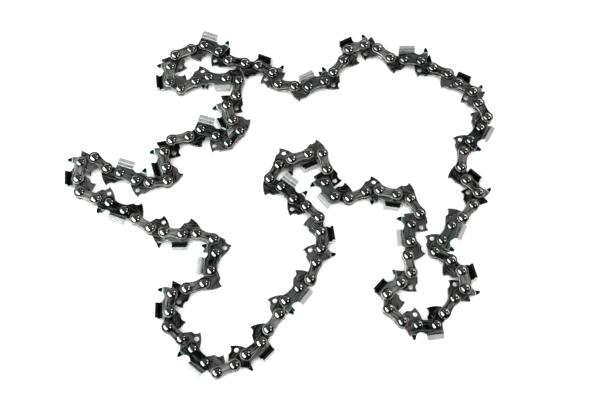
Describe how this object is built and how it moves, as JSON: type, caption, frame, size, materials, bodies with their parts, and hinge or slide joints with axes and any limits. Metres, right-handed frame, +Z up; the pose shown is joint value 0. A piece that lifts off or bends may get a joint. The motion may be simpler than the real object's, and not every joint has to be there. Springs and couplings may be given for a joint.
{
  "type": "chainsaw chain loop",
  "caption": "Closed loop of saw chain lying on its side in loose bends: drive links with hooked tangs, waisted tie straps, left and right hand cutters with depth gauges, and rivets.",
  "frame": {"origin": "on the surface that the chain lies on, under the middle of its outer box", "axes": "+X along the loop's longer side, to the right of the picture, +Y to the picture's top, +Z up"},
  "size_m": [0.224, 0.1906, 0.008],
  "materials": {
    "link_steel": "dark oiled",
    "cutter_chrome": "satin plated",
    "rivet_steel": "peened and bright"
  },
  "bodies": {
    "top_run": {"top_run_drive_links": "link_steel", "top_run_bumper_drive_links": "link_steel", "top_run_tie_straps": "link_steel", "top_run_cutter_straps": "link_steel", "top_run_left_cutters": "cutter_chrome", "top_run_right_cutters": "cutter_chrome", "top_run_rivets": "rivet_steel"},
    "right_run": {"right_run_drive_links": "link_steel", "right_run_bumper_drive_links": "link_steel", "right_run_tie_straps": "link_steel", "right_run_cutter_straps": "link_steel", "right_run_left_cutters": "cutter_chrome", "right_run_right_cutters": "cutter_chrome", "right_run_rivets": "rivet_steel"},
    "middle_run": {"middle_run_drive_links": "link_steel", "middle_run_bumper_drive_links": "link_steel", "middle_run_tie_straps": "link_steel", "middle_run_cutter_straps": "link_steel", "middle_run_left_cutters": "cutter_chrome", "middle_run_right_cutters": "cutter_chrome", "middle_run_rivets": "rivet_steel"},
    "left_run": {"left_run_drive_links": "link_steel", "left_run_bumper_drive_links": "link_steel", "left_run_tie_straps": "link_steel", "left_run_cutter_straps": "link_steel", "left_run_left_cutters": "cutter_chrome", "left_run_right_cutters": "cutter_chrome", "left_run_rivets": "rivet_steel"}
  },
  "joints": [
    {"name": "right_fold", "type": "hinge", "parent": "top_run", "child": "right_run", "pos_m": [0.05727, 0.08005, 0.004], "axis": [0, 0, 1], "range_deg": [-12, 12]},
    {"name": "middle_fold", "type": "hinge", "parent": "right_run", "child": "middle_run", "pos_m": [0.07194, -0.00863, 0.004], "axis": [0, 0, 1], "range_deg": [-12, 12]},
    {"name": "left_fold", "type": "hinge", "parent": "top_run", "child": "left_run", "pos_m": [-0.05937, 0.01205, 0.004], "axis": [0, 0, 1], "range_deg": [-12, 12]}
  ],
  "couplings": [
    {"joint": "middle_fold", "follows": "right_fold", "ratio": -1},
    {"joint": "left_fold", "follows": "right_fold", "ratio": 1}
  ]
}
